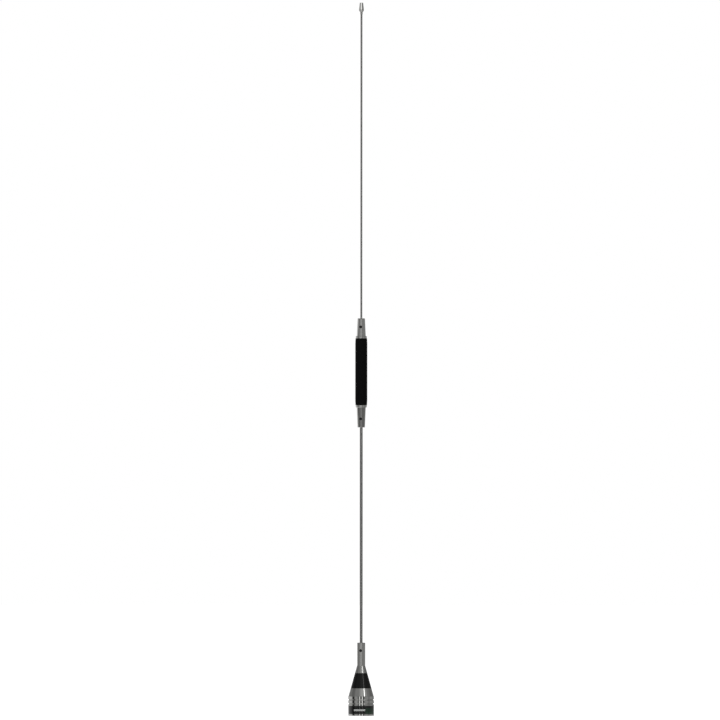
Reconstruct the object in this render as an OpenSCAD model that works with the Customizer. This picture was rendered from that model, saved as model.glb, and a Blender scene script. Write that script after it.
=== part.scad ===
// Centre-loaded mobile whip antenna that screws onto a vehicle's antenna mount.
// Millimetres, +Z up, origin at the centre of the base rim. The set screws face -Y.
// From the rim up: brass shell, insulator cone, brass whip holder, lower whip,
// loading coil between two ferrules, upper whip and tip bead.

/* [Base shell] */
// Outer diameter of the skirt
base_d = 40; // [37:0.5:44]
// Height of the straight skirt, from the rim to the foot of the cone
skirt_h = 30.5; // [27:0.5:36]
// Height of the cone on top of the skirt that belongs to the shell
shell_cone_h = 12.5; // [9:0.5:16]
// Radial step from the skirt in to the foot of the cone
cone_step = 0.3; // [0.1:0.1:0.8]
// Chamfer at the outside of the rim
rim_chamfer = 0.5; // [0.2:0.1:1]
// Wall of the skirt round the cavity above the mounting thread
cavity_wall = 4; // [3:0.5:5]
// Thickness of the roof that the insulator is clamped on
roof_t = 10; // [7:0.5:11]
// Radius of the two grip grooves round the skirt
groove_r = 1.1; // [0.6:0.1:1.6]
// Height of the lower grip groove above the rim
groove_z = 18.8; // [18:0.2:20]
// Distance from one grip groove to the next
groove_pitch = 6.2; // [4:0.2:7]

/* [Mounting thread] */
// Wall of the skirt outside the thread's major diameter, which is 28.58 in a 40 mm skirt
thread_wall = 5.71; // [5:0.01:6.5]
// Length of the threaded wall
thread_l = 8.2; // [6:0.1:8.6]
// Chamfer at the mouth of the thread
mouth_chamfer = 0.6; // [0.3:0.1:1]
// Height from the rim to the seal that the mount's top presses on
seal_z = 11.3; // [11:0.1:12]
// Thickness of the rubber seal ring
seal_t = 1.2; // [0.8:0.1:1.6]
// Radial width of the rubber seal ring
seal_w = 3.4; // [2.4:0.2:4.4]

/* [Label] */
// Height of the label's lower edge above the rim
label_z = 2.8; // [1.5:0.1:4]
// Height of the label
label_h = 13.2; // [10:0.2:13.4]
// Thickness of the label, which is also the depth of its recess
label_t = 0.15; // [0.1:0.05:0.3]
// Width of the gap between the label's two ends
label_gap = 1.2; // [0.6:0.2:4]

/* [Insulator] */
// Height of the black band of the cone
band_h = 23.3; // [18:0.1:28]
// Radial step from the threaded spigot in the shell's roof in to the insulator's tail
tail_step = 2.5; // [1.5:0.5:3.5]
// Length of spigot thread that shows below the ring nut
spigot_end = 1.5; // [0.5:0.5:2.5]
// Depth of the recess for the whip holder's boss
boss_h = 4; // [3:0.5:6]
// Diameter of the whip holder's boss
boss_d = 12; // [10:0.5:13]
// Chamfer on each edge of the joints between the cone's parts
seam = 0.2; // [0.1:0.05:0.4]

/* [Clamping parts] */
// Radial gap that lets the ring nut in through the mounting thread
nut_gap = 0.99; // [0.8:0.01:1.5]
// Radial wall of the ring nut round the insulator's spigot
nut_wall = 3.3; // [2.5:0.1:4]
// Thickness of the ring nut
nut_t = 4; // [3:0.5:5]
// Number of spanner slots in the ring nut
nut_slots = 4; // [2:1:6]
// Width of each spanner slot
slot_w = 3; // [2:0.5:4]
// Depth of each spanner slot
slot_depth = 1.8; // [1:0.2:2.4]
// Thickness of the washer above the ring nut
washer_t = 0.8; // [0.5:0.1:1.5]
// Radial gap that lets the contact disc in through the mounting thread
disc_gap = 0.89; // [0.8:0.01:1.5]
// Thickness of the contact disc
disc_t = 3; // [2:0.5:4]

/* [Contact] */
// Diameter of the contact bolt's shank
bolt_d = 6; // [5.6:0.2:7]
// Width of the contact bolt's hexagon head across its flats
bolt_af = 9; // [8.5:0.5:11]
// Thickness of the contact bolt's head
bolt_head_t = 1.5; // [1.2:0.1:2]
// Length of the bolt's thread inside the whip holder, above the boss's foot
bolt_grip = 11.5; // [9:0.5:12]
// Diameter of the spring chamber
chamber_d = 4; // [3.8:0.1:4.4]
// Diameter of the contact pin's nose
pin_d = 3; // [2.6:0.1:3.2]
// Diameter of the contact pin's shoulder
shoulder_d = 3.8; // [3.5:0.1:3.85]
// Height of the contact pin's shoulder
shoulder_h = 1.5; // [1:0.1:2]
// Length of the nose outside the bolt's head
pin_reach = 1.9; // [1.9:0.1:2.2]
// Diameter of the contact pin's tail inside the spring
pin_tail_d = 1.6; // [1.2:0.1:1.8]
// Length of the contact pin's tail
pin_tail_l = 5; // [3:0.5:6]
// Height of the collar that keeps the pin in the bolt
collar_h = 2; // [1.5:0.1:2.4]
// Wire diameter of the contact spring
spring_wire_d = 0.5; // [0.4:0.05:0.55]
// Number of turns of the contact spring
spring_turns = 7; // [5:1:8]
// Distance from one turn of the contact spring to the next
spring_pitch = 1.36; // [1.2:0.04:1.48]

/* [Whip holder] */
// Diameter of the neck
neck_d = 12.9; // [12:0.1:14.4]
// Length of the neck, above the cone
neck_h = 36; // [30:0.5:44]
// Height of the cone part of the whip holder
holder_cone_h = 11.5; // [8:0.5:15]
// Depth of the whip's socket from the top of the neck
socket_depth = 34; // [28:0.5:36]
// Distance from the top of the neck to its set screw
holder_screw_drop = 12.3; // [9:0.1:15]
// Chamfer round the top of the neck
neck_chamfer = 0.6; // [0.3:0.1:1]

/* [Whips] */
// Diameter of the lower whip
lower_whip_d = 4.5; // [4:0.1:5]
// Length of the lower whip
lower_whip_l = 395.5; // [250:0.5:600]
// Diameter of the upper whip
upper_whip_d = 3; // [2.4:0.1:3.4]
// Length of the upper whip
upper_whip_l = 505; // [300:1:800]
// Chamfer on the ends of the whips, the bolt, the bead and the set screws
end_chamfer = 0.3; // [0.1:0.1:0.6]

/* [Ferrules] */
// Diameter at the open end of each ferrule
ferrule_open_d = 11.3; // [11:0.1:12]
// Diameter of each ferrule's taper where it meets its flange
ferrule_foot_d = 13.8; // [13:0.1:15]
// Length of the lower ferrule's taper
lower_ferrule_l = 31; // [26:0.5:38]
// Length of the upper ferrule's taper
upper_ferrule_l = 27.5; // [25:0.5:34]
// Thickness of each ferrule's flange
flange_t = 3.6; // [2.5:0.1:5]
// Diameter of each ferrule's flange
flange_d = 17; // [16.6:0.1:17.1]
// Chamfer on the open end and on the flange
ferrule_chamfer = 0.6; // [0.3:0.1:1]
// Thickness of metal between the whip's socket and the flange's face
socket_floor = 8; // [6:0.5:10]
// Diameter of the spigot that goes into the coil former
plug_d = 10; // [8:0.5:11]
// Length of the spigot that goes into the coil former
plug_l = 14; // [11:0.5:16]
// Distance from the open end of each ferrule to its set screw
ferrule_screw_drop = 13.3; // [9:0.1:15]

/* [Loading coil] */
// Length of the coil former and of its sleeve
coil_l = 104; // [90:1:130]
// Diameter of the former under the winding
former_d = 14.9; // [14.4:0.1:15.2]
// Length of the collar at each end of the former
collar_l = 9.5; // [9:0.5:12]
// Diameter of the winding's wire
wire_d = 1; // [0.8:0.05:1.1]
// Least length of bare former between each collar and the winding
winding_gap = 2.5; // [2:0.1:6]
// Distance from one turn to the next
wire_pitch = 1.8; // [1.3:0.05:1.85]
// Diameter of the shrunk sleeve over the winding
sleeve_d = 18.8; // [18.3:0.1:20]
// Diameter of the shrunk sleeve at its ends
sleeve_end_d = 18; // [17.7:0.1:18.2]
// Length over which each end of the sleeve draws in
sleeve_draw = 9; // [4:0.5:14]
// Diameter of the cross pins that hold the ferrules in the former
pin_cross_d = 2.5; // [2:0.1:3]
// Distance from each flange's face to its cross pin
pin_cross_z = 5; // [4:0.5:6]

/* [Tip bead] */
// Height of the bead above its shank
bead_h = 14.2; // [11:0.1:18]
// Largest diameter of the bead
bead_d = 7.5; // [6:0.1:9]
// Diameter of the bead's flat top
bead_top_d = 4.6; // [3:0.1:5.4]
// Height of the rounded belly below the bead's widest ring
belly_h = 3.4; // [2.4:0.1:4.5]
// Diameter of the bead's shank
shank_d = 3.8; // [3.6:0.1:4.6]
// Length of the bead's shank
shank_l = 4; // [2:0.5:6]
// Depth of the bead's bore for the upper whip
bead_bore = 9; // [6:0.5:12]

/* [Set screws] */
// Thread diameter of the set screws
screw_d = 4; // [3:0.1:4.4]
// Length of the set screws
screw_l = 3.2; // [2.6:0.1:3.5]
// Width of the set screws' hexagon socket across its flats
key_af = 2; // [1.5:0.1:2.2]
// Depth of the hexagon socket
key_depth = 1.7; // [1.2:0.1:1.9]
// Angle of the set screws from the front, towards -X
screw_turn = 7; // [0:1:90]

/* [Fits] */
// Radial clearance of every piece that sits or slides in a bore
fit = 0.05; // [0.02:0.01:0.1]
// Clearance at the foot of a blind hole and at a set screw's tip
tip_gap = 0.1; // [0.05:0.05:0.3]

/* [Hidden] */
$fn = 72;
// Overlap that carries a cut past the face it opens
over = 1;

// Diameters in the base, from the skirt inwards
cavity_d = base_d - 2 * cavity_wall;
thread_d = base_d - 2 * thread_wall;
disc_d = thread_d - 2 * disc_gap;
nut_d = thread_d - 2 * nut_gap;
spigot_d = nut_d - 2 * nut_wall;
tail_d = spigot_d - 2 * tail_step;

// Radii
base_r = base_d / 2;
thread_r = thread_d / 2;
cavity_r = cavity_d / 2;
neck_r = neck_d / 2;
bolt_r = bolt_d / 2;
former_r = former_d / 2;
wire_r = wire_d / 2;
pin_r = pin_d / 2;
chamber_r = chamber_d / 2;
lower_bore_r = lower_whip_d / 2 + fit;
upper_bore_r = upper_whip_d / 2 + fit;
screw_bore_r = screw_d / 2 + fit;
winding_r = former_r + wire_r + fit;
sleeve_bore_r = winding_r + wire_r + 2 * fit;
collar_r = sleeve_bore_r - fit;

// Heights in the base
thread_top = mouth_chamfer + thread_l;
cavity_z = thread_top + cavity_r - thread_r;
shell_top = skirt_h + shell_cone_h;
roof_z = shell_top - roof_t;
band_top = shell_top + band_h;
cone_top = band_top + holder_cone_h;
neck_top = cone_top + neck_h;
disc_z = seal_z + seal_t;
disc_top = disc_z + disc_t;
washer_z = roof_z - washer_t;
nut_z = washer_z - nut_t;
spigot_z = nut_z - spigot_end;
boss_z = band_top - boss_h;
head_z = disc_z - bolt_head_t;
bolt_top = boss_z + bolt_grip;
shoulder_z = head_z + collar_h;
spring_z = shoulder_z + shoulder_h;
spring_start = spring_z + (spring_wire_d + tip_gap) / 2;
chamber_top = spring_start + spring_turns * spring_pitch + (spring_wire_d + tip_gap) / 2;
socket_z = neck_top - socket_depth;

// Whole turns of wire that go between the former's collars
turns = floor((coil_l - 2 * collar_l - 2 * winding_gap) / wire_pitch);

// Heights along the whips and the coil
lower_socket_l = lower_ferrule_l + flange_t - socket_floor;
upper_socket_l = upper_ferrule_l + flange_t - socket_floor;
lower_ferrule_z = socket_z + lower_whip_l - lower_socket_l;
former_z = lower_ferrule_z + lower_ferrule_l + flange_t;
former_top = former_z + coil_l;
upper_ferrule_top = former_top + flange_t + upper_ferrule_l;
upper_whip_z = upper_ferrule_top - upper_socket_l;
bead_z = upper_whip_z + upper_whip_l - bead_bore;

// Radius of the base cone at a height
function cone_r(z) = base_r - cone_step
    + (neck_r - base_r + cone_step) * (z - skirt_h) / (cone_top - skirt_h);

// Radius of a ferrule's taper at a distance from its open end
function taper_r(z, len) = (ferrule_open_d + (ferrule_foot_d - ferrule_open_d) * z / len) / 2;

// Solid of revolution from a list of [radius, height] points
module turned(points) {
    rotate_extrude() polygon(points);
}

// Ring of rectangular section from z up
module ring(inner_r, outer_r, z, h) {
    turned([[inner_r, z], [outer_r, z], [outer_r, z + h], [inner_r, z + h]]);
}

// Wire coil as a chain of tilted half rings, each with its end faces on the next one's.
// The first end face is at [r, 0, 0], and each turn rises by pitch.
module wire_coil(r, wire, pitch, n_turns) {
    tilt = asin(pitch / 4 / r);
    for (i = [0 : 2 * n_turns - 1])
        translate([0, 0, pitch * (2 * i + 1) / 4])
            rotate([0, 0, 180 * (i % 2)])
                rotate([0, tilt, 0])
                    rotate_extrude(angle = 180)
                        translate([r, 0]) circle(r = wire);
}

// Places its children on the set screws' side, with their X axis pointing outwards
module at_screw(z) {
    translate([0, 0, z]) rotate([0, 0, -90 - screw_turn]) children();
}

// Tapped hole from a whip's bore to the outside
module screw_hole(z) {
    at_screw(z) rotate([0, 90, 0]) cylinder(r = screw_bore_r, h = base_r);
}

// Cup-point set screw whose tip is next to a whip of radius whip_r
module set_screw(z, whip_r) {
    tip_x = whip_r + tip_gap;
    cup_r = screw_d / 4;
    color("dimgray") at_screw(z) translate([tip_x, 0, 0]) rotate([0, 90, 0]) difference() {
        turned([[0, 0], [cup_r, 0], [screw_d / 2, screw_d / 2 - cup_r],
                [screw_d / 2, screw_l - end_chamfer], [screw_d / 2 - end_chamfer, screw_l],
                [0, screw_l]]);
        translate([0, 0, screw_l - key_depth])
            cylinder(d = key_af / cos(30), h = key_depth + over, $fn = 6);
    }
}

// Blind socket for a whip, from its floor at z up to its mouth at z + len
module socket(r, z, len) {
    translate([0, 0, z]) cylinder(r = r, h = len + over);
    translate([0, 0, z + len - end_chamfer])
        cylinder(r1 = r, r2 = r + end_chamfer + over, h = end_chamfer + over);
}

module base_shell() {
    cone_foot = cone_r(skirt_h);
    recess_r = base_r - label_t - fit;
    color("silver") difference() {
        turned([
            [0, 0], [base_r - rim_chamfer, 0], [base_r, rim_chamfer],
            [base_r, label_z - fit], [recess_r, label_z - fit],
            [recess_r, label_z + label_h + fit], [base_r, label_z + label_h + fit],
            [base_r, skirt_h - cone_step], [cone_foot, skirt_h],
            [cone_r(shell_top - seam), shell_top - seam],
            [cone_r(shell_top) - seam, shell_top], [0, shell_top]
        ]);
        // Mount's mouth, thread at its major diameter, flare and cavity in one cut
        turned([
            [0, -over], [thread_r + mouth_chamfer, -over], [thread_r + mouth_chamfer, 0],
            [thread_r, mouth_chamfer], [thread_r, thread_top], [cavity_r, cavity_z],
            [cavity_r, roof_z], [0, roof_z]
        ]);
        translate([0, 0, roof_z - over])
            cylinder(r = spigot_d / 2 + fit, h = roof_t + 2 * over);
        for (i = [0 : 1])
            translate([0, 0, groove_z + i * groove_pitch])
                rotate_extrude() translate([base_r, 0]) circle(r = groove_r);
    }
}

// Printed foil that wraps the recess, with its two ends meeting at the back
module label_band() {
    color("black") difference() {
        ring(base_r - label_t, base_r, label_z, label_h);
        translate([-label_gap / 2, 0, label_z - over]) cube([label_gap, base_d, label_h + 2 * over]);
    }
}

module insulator() {
    color([0.1, 0.1, 0.1]) difference() {
        turned([
            [0, disc_top], [tail_d / 2, disc_top], [tail_d / 2, spigot_z],
            [spigot_d / 2, spigot_z], [spigot_d / 2, shell_top],
            [cone_r(shell_top) - seam, shell_top], [cone_r(shell_top + seam), shell_top + seam],
            [cone_r(band_top - seam), band_top - seam], [cone_r(band_top) - seam, band_top],
            [0, band_top]
        ]);
        translate([0, 0, boss_z]) cylinder(r = boss_d / 2 + fit, h = boss_h + over);
        translate([0, 0, disc_top - over]) cylinder(r = bolt_r + fit, h = boss_z - disc_top + 2 * over);
    }
}

// Flat washer between the roof of the shell and the ring nut
module lock_washer() {
    color("gainsboro") ring(spigot_d / 2 + fit, nut_d / 2 - seam, washer_z, washer_t);
}

// Slotted ring nut that clamps the insulator's spigot to the roof of the shell
module ring_nut() {
    color("goldenrod") difference() {
        turned([
            [spigot_d / 2 + fit, nut_z], [nut_d / 2 - seam, nut_z], [nut_d / 2, nut_z + seam],
            [nut_d / 2, washer_z - seam], [nut_d / 2 - seam, washer_z],
            [spigot_d / 2 + fit, washer_z]
        ]);
        for (i = [0 : nut_slots - 1])
            rotate([0, 0, i * 360 / nut_slots])
                translate([0, -slot_w / 2, nut_z - over]) cube([nut_d, slot_w, slot_depth + over]);
    }
}

// Insulating disc under the insulator's tail, which carries the seal
module contact_disc() {
    color("ivory") turned([
        [bolt_r + fit, disc_z], [disc_d / 2 - seam, disc_z], [disc_d / 2, disc_z + seam],
        [disc_d / 2, disc_top - seam], [disc_d / 2 - seam, disc_top], [bolt_r + fit, disc_top]
    ]);
}

module seal_ring() {
    color([0.15, 0.15, 0.15]) ring(disc_d / 2 - seal_w, disc_d / 2 - seam, seal_z, seal_t);
}

// Hollow bolt that clamps the stack to the whip holder and houses the contact pin
module contact_bolt() {
    color("goldenrod") difference() {
        union() {
            translate([0, 0, head_z])
                cylinder(d = bolt_af / cos(30), h = bolt_head_t, $fn = 6);
            turned([
                [0, head_z], [bolt_r, head_z], [bolt_r, bolt_top - end_chamfer],
                [bolt_r - end_chamfer, bolt_top], [0, bolt_top]
            ]);
        }
        translate([0, 0, head_z - over]) cylinder(r = chamber_r, h = chamber_top - head_z + over);
    }
}

// Pressed-in collar that holds the contact pin's shoulder
module contact_collar() {
    color("gold") ring(pin_r + fit, chamber_r, head_z, collar_h);
}

module contact_spring() {
    spring_r = (chamber_d + pin_tail_d) / 4;
    color("lightsteelblue") translate([0, 0, spring_start])
        wire_coil(spring_r, spring_wire_d / 2, spring_pitch, spring_turns);
}

// Spring-loaded pin that touches the mount's centre contact
module contact_pin() {
    nose = pin_r / 2;
    tip_z = head_z - pin_reach;
    color("gold") turned([
        [0, tip_z], [pin_r - nose, tip_z], [pin_r, tip_z + nose], [pin_r, shoulder_z],
        [shoulder_d / 2, shoulder_z], [shoulder_d / 2, spring_z],
        [pin_tail_d / 2, spring_z], [pin_tail_d / 2, spring_z + pin_tail_l],
        [0, spring_z + pin_tail_l]
    ]);
}

module whip_holder() {
    color("silver") difference() {
        turned([
            [0, boss_z], [boss_d / 2, boss_z], [boss_d / 2, band_top],
            [cone_r(band_top) - seam, band_top], [cone_r(band_top + seam), band_top + seam],
            [neck_r, cone_top], [neck_r, neck_top - neck_chamfer],
            [neck_r - neck_chamfer, neck_top], [0, neck_top]
        ]);
        socket(lower_bore_r, socket_z, socket_depth);
        translate([0, 0, boss_z - over])
            cylinder(r = bolt_r + fit, h = bolt_grip + over + tip_gap);
        screw_hole(neck_top - holder_screw_drop);
    }
}

// Straight rod with chamfered ends
module whip(r, z, len) {
    color("gray") turned([
        [0, z], [r - end_chamfer, z], [r, z + end_chamfer],
        [r, z + len - end_chamfer], [r - end_chamfer, z + len], [0, z + len]
    ]);
}

module lower_whip() whip(lower_whip_d / 2, socket_z, lower_whip_l);

module upper_whip() whip(upper_whip_d / 2, upper_whip_z, upper_whip_l);

// Tapered ferrule with its open end at z = 0 and its plug pointing up
module ferrule(len, bore_r) {
    flange_r = flange_d / 2;
    face = len + flange_t;
    color("silver") difference() {
        turned([
            [0, 0], [ferrule_open_d / 2 - ferrule_chamfer, 0],
            [taper_r(ferrule_chamfer, len), ferrule_chamfer], [ferrule_foot_d / 2, len],
            [flange_r - ferrule_chamfer, len], [flange_r, len + ferrule_chamfer],
            [flange_r, face], [plug_d / 2, face], [plug_d / 2, face + plug_l - ferrule_chamfer],
            [plug_d / 2 - ferrule_chamfer, face + plug_l], [0, face + plug_l]
        ]);
        translate([0, 0, face - socket_floor]) mirror([0, 0, 1])
            socket(bore_r, 0, face - socket_floor);
        screw_hole(ferrule_screw_drop);
        translate([0, 0, face + pin_cross_z]) rotate([90, 0, 0])
            cylinder(r = pin_cross_d / 2 + fit, h = plug_d + 2 * over, center = true);
    }
}

module lower_ferrule() translate([0, 0, lower_ferrule_z]) ferrule(lower_ferrule_l, lower_bore_r);

module upper_ferrule()
    translate([0, 0, upper_ferrule_top]) mirror([0, 0, 1]) ferrule(upper_ferrule_l, upper_bore_r);

// Tube between the flanges, with a collar at each end and a slot there for the wire's lead
module coil_former() {
    slot = wire_d + 2 * fit;
    color("wheat") difference() {
        turned([
            [plug_d / 2 + fit, former_z], [collar_r, former_z], [collar_r, former_z + collar_l],
            [former_r, former_z + collar_l], [former_r, former_top - collar_l],
            [collar_r, former_top - collar_l], [collar_r, former_top],
            [plug_d / 2 + fit, former_top]
        ]);
        for (z = [former_z - over, former_top - collar_l - over])
            translate([former_r, -slot / 2, z]) cube([over + wire_d, slot, collar_l + 2 * over]);
        for (z = [former_z + pin_cross_z, former_top - pin_cross_z])
            translate([0, 0, z]) rotate([90, 0, 0])
                cylinder(r = pin_cross_d / 2 + fit, h = 2 * (collar_r + over), center = true);
    }
}

// Wire wound on the former, with a straight lead through each collar to the flange and a
// crimped clip at each corner
module coil_winding() {
    winding_l = turns * wire_pitch;
    start = (former_z + former_top - winding_l) / 2;
    lead_x = winding_r * cos(asin(wire_pitch / 4 / winding_r));
    clip_r = wire_r + fit / 2;
    color([0.72, 0.35, 0.15]) union() {
        translate([0, 0, start]) wire_coil(winding_r, wire_r, wire_pitch, turns);
        for (ends = [[former_z, start], [start + winding_l, former_top]])
            translate([lead_x, 0, ends[0]]) cylinder(r = wire_r, h = ends[1] - ends[0]);
        for (z = [start, start + winding_l])
            translate([lead_x, 0, z]) cylinder(r = clip_r, h = 2 * clip_r, center = true);
    }
}

// Heat-shrunk sleeve, drawn in towards both ends
module coil_sleeve() {
    end_r = sleeve_end_d / 2;
    steps = 6;
    // Points of the drawn-in end, from the end face to the full radius, as a smooth step
    draw = [for (i = [0 : steps]) let (t = i / steps)
        [end_r + (sleeve_d / 2 - end_r) * t * t * (3 - 2 * t), sleeve_draw * t]];
    color([0.05, 0.05, 0.05]) turned(concat(
        [[sleeve_bore_r, former_z]],
        [for (p = draw) [p[0], former_z + p[1]]],
        [for (i = [steps : -1 : 0]) [draw[i][0], former_top - draw[i][1]]],
        [[sleeve_bore_r, former_top]]
    ));
}

// Cross pins through the former's collars and the ferrules' plugs
module former_pins() {
    color("gainsboro")
        for (z = [former_z + pin_cross_z, former_top - pin_cross_z])
            translate([0, 0, z]) rotate([90, 0, 0])
                cylinder(r = pin_cross_d / 2, h = 2 * collar_r - wire_r, center = true);
}

// Bead that blunts the end of the upper whip
module tip_bead() {
    bead_r = bead_d / 2;
    shank_r = shank_d / 2;
    widest = shank_l + belly_h;
    steps = 8;
    // Quarter of an ellipse from the shank out to the widest ring
    belly = [for (i = [0 : steps]) let (a = 90 * i / steps)
        [shank_r + (bead_r - shank_r) * sin(a), widest - belly_h * cos(a)]];
    color("silver") translate([0, 0, bead_z]) difference() {
        turned(concat(
            [[0, 0], [shank_r - end_chamfer, 0], [shank_r, end_chamfer]],
            belly,
            [[bead_top_d / 2 + end_chamfer, shank_l + bead_h - end_chamfer],
             [bead_top_d / 2, shank_l + bead_h], [0, shank_l + bead_h]]
        ));
        translate([0, 0, -over]) cylinder(r = upper_bore_r, h = bead_bore + over);
    }
}

base_shell();
label_band();
insulator();
lock_washer();
ring_nut();
contact_disc();
seal_ring();
contact_bolt();
contact_collar();
contact_spring();
contact_pin();
whip_holder();
set_screw(neck_top - holder_screw_drop, lower_whip_d / 2);  // holder_set_screw
lower_whip();
lower_ferrule();
set_screw(lower_ferrule_z + ferrule_screw_drop, lower_whip_d / 2);  // lower_ferrule_set_screw
coil_former();
coil_winding();
coil_sleeve();
former_pins();
upper_ferrule();
set_screw(upper_ferrule_top - ferrule_screw_drop, upper_whip_d / 2);  // upper_ferrule_set_screw
upper_whip();
tip_bead();
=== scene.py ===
"""Dressed model of a centre-loaded mobile whip antenna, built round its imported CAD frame.

The CAD nodes whose shape is right keep it and get their finishes. The rods, the tip bead, the
shrunk sleeve, the winding, the contact spring and the mounting thread are surfaces worked out
with numpy.
"""
from __future__ import annotations

import logging
import math
from dataclasses import dataclass, field
from enum import Enum
from functools import reduce

import bmesh
import bpy
import numpy as np
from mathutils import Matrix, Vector

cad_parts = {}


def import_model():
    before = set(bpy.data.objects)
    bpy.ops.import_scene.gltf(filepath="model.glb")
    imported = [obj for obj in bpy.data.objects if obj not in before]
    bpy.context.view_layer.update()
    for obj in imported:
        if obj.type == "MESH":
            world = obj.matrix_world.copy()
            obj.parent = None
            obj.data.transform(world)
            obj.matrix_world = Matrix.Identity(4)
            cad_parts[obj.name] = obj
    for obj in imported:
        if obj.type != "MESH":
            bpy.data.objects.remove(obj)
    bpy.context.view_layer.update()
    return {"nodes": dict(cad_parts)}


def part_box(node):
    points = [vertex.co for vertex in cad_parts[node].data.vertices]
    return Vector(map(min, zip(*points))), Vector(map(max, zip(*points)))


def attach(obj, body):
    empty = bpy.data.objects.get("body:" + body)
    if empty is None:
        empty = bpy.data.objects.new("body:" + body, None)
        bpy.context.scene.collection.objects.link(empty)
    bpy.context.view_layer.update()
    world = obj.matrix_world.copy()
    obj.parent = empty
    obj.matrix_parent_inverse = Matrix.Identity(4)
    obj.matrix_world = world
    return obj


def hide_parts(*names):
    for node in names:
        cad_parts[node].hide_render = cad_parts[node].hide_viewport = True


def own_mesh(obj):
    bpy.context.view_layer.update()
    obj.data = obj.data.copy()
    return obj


LOG = logging.getLogger("antenna")
MM = 0.001
MERGE_WITHIN = 1e-7
NO_LENGTH = 1e-9
TURNED_NODES = ("base_shell", "insulator", "whip_holder", "lower_ferrule", "upper_ferrule")
Array = np.ndarray
Colour = tuple[float, float, float]
Group = bpy.types.ShaderNodeTree
Inputs = dict[str | int, object]
Material = bpy.types.Material
Node = bpy.types.Node
Object = bpy.types.Object
Socket = bpy.types.NodeSocket


class Slot(Enum):
    """The record's material slots that this script dresses."""

    CHROMED_BRASS = "chromed_brass"
    STAINLESS = "stainless"
    PLATED_STEEL = "plated_steel"
    BLACKENED_STEEL = "blackened_steel"
    BRASS = "brass"
    COPPER_WIRE = "copper_wire"
    BLACK_ACETAL = "black_acetal"
    CONTACT_DISC = "contact_disc_plastic"
    FORMER = "former_plastic"
    HEAT_SHRINK = "heat_shrink"
    LABEL_FOIL = "label_foil"
    RUBBER = "rubber"


class Grain(Enum):
    """Which way the tool marks of a metal finish run."""

    TURNED = "round the axis"
    DRAWN = "along the axis"


# ---- shader nodes


@dataclass
class Tree:
    """A node tree with short calls for the shared nodes, whose values are numbers or sockets."""

    base: bpy.types.NodeTree

    def feed(self, source: object, target: Socket) -> None:
        """Links a socket to the target, or sets the target to a plain value.

        Args:
            source: a socket or a value.
            target: the socket to feed.
        """
        if isinstance(source, Socket):
            self.base.links.new(source, target)
        else:
            target.default_value = source

    def add(self, kind: str, inputs: Inputs | None = None, **settings: object) -> Node:
        """Makes a node.

        Args:
            kind: the node's type name.
            inputs: a value for each input, by its name or number.
            settings: values for the node's attributes.

        Returns:
            The new node.
        """
        node = self.base.nodes.new(kind)
        for name, value in settings.items():
            setattr(node, name, value)
        for label, value in (inputs or {}).items():
            self.feed(value, node.inputs[label])
        return node

    def math(self, operation: str, *values: object, clamp: bool = False) -> Socket:
        """Does one step of arithmetic, by Blender's name, which may be kept between 0 and 1."""
        inputs = dict(enumerate(values))
        return self.add("ShaderNodeMath", inputs, operation=operation, use_clamp=clamp).outputs[0]

    def times(self, *values: object) -> Socket:
        """Multiplies values in order."""
        return reduce(lambda product, value: self.math("MULTIPLY", product, value), values)

    def plus(self, first: object, second: object) -> Socket:
        """Adds two values."""
        return self.math("ADD", first, second)

    def mix(self, mask: object, low: object, high: object) -> Socket:
        """Mixes two colours.

        Args:
            mask: share of the second colour.
            low: colour where the mask is 0.
            high: colour where the mask is 1.

        Returns:
            The mixed colour's socket.
        """
        low, high = ((*c, 1.0) if isinstance(c, tuple) else c for c in (low, high))
        inputs = {"Factor": mask, 6: low, 7: high}
        return self.add("ShaderNodeMix", inputs, data_type="RGBA").outputs[2]

    def scaled(self, value: object, low: object, high: object) -> Socket:
        """Carries 0 to 1 linearly onto low to high."""
        inputs = {"Value": value, "To Min": low, "To Max": high}
        return self.add("ShaderNodeMapRange", inputs).outputs[0]

    def smooth(self, value: object, low: object, high: object) -> Socket:
        """Smooth step from 0 at the low value to 1 at the high one."""
        inputs = {"Value": value, "From Min": low, "From Max": high}
        return self.add("ShaderNodeMapRange", inputs, interpolation_type="SMOOTHSTEP").outputs[0]

    def noise(self, place: Socket, scale: object, detail: float = 2.0, warp: float = 0.0) -> Socket:
        """Noise with so many features in a metre, so many finer layers and a distortion."""
        inputs = {"Vector": place, "Scale": scale, "Detail": detail, "Distortion": warp}
        return self.add("ShaderNodeTexNoise", inputs).outputs[0]

    def group(self, group: Group, **inputs: object) -> Socket:
        """Places a shared node group, its inputs named with _ for a space."""
        named = {name.replace("_", " "): value for name, value in inputs.items()}
        return self.add("ShaderNodeGroup", named, node_tree=group).outputs[0]

    def bump(self, height: Socket, distance: float, strength: float = 0.5) -> Socket:
        """Normal for a height of 0 to 1, where 1 is the distance in metres."""
        inputs = {"Height": height, "Distance": distance, "Strength": strength}
        return self.add("ShaderNodeBump", inputs).outputs[0]

    def place(self) -> Socket:
        """The Object coordinates, in metres."""
        return self.add("ShaderNodeTexCoord").outputs["Object"]

    def axis_parts(self) -> tuple[Socket, Socket, Socket]:
        """Splits the Object coordinates round the antenna's axis.

        Returns:
            Sockets for the distance from the axis, the angle round it from -Y towards +X in
            radians, and the height.
        """
        x, y, z = self.add("ShaderNodeSeparateXYZ", {0: self.place()}).outputs
        away = self.math("SQRT", self.plus(self.times(x, x), self.times(y, y)))
        return away, self.math("ARCTAN2", x, self.times(y, -1.0)), z


def cleared(owner: Material | bpy.types.World) -> Tree:
    """Turns on a material's or world's nodes and takes the ready-made ones away.

    Args:
        owner: the material or world.

    Returns:
        Its empty tree.
    """
    owner.use_nodes = True
    owner.node_tree.nodes.clear()
    return Tree(owner.node_tree)


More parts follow.
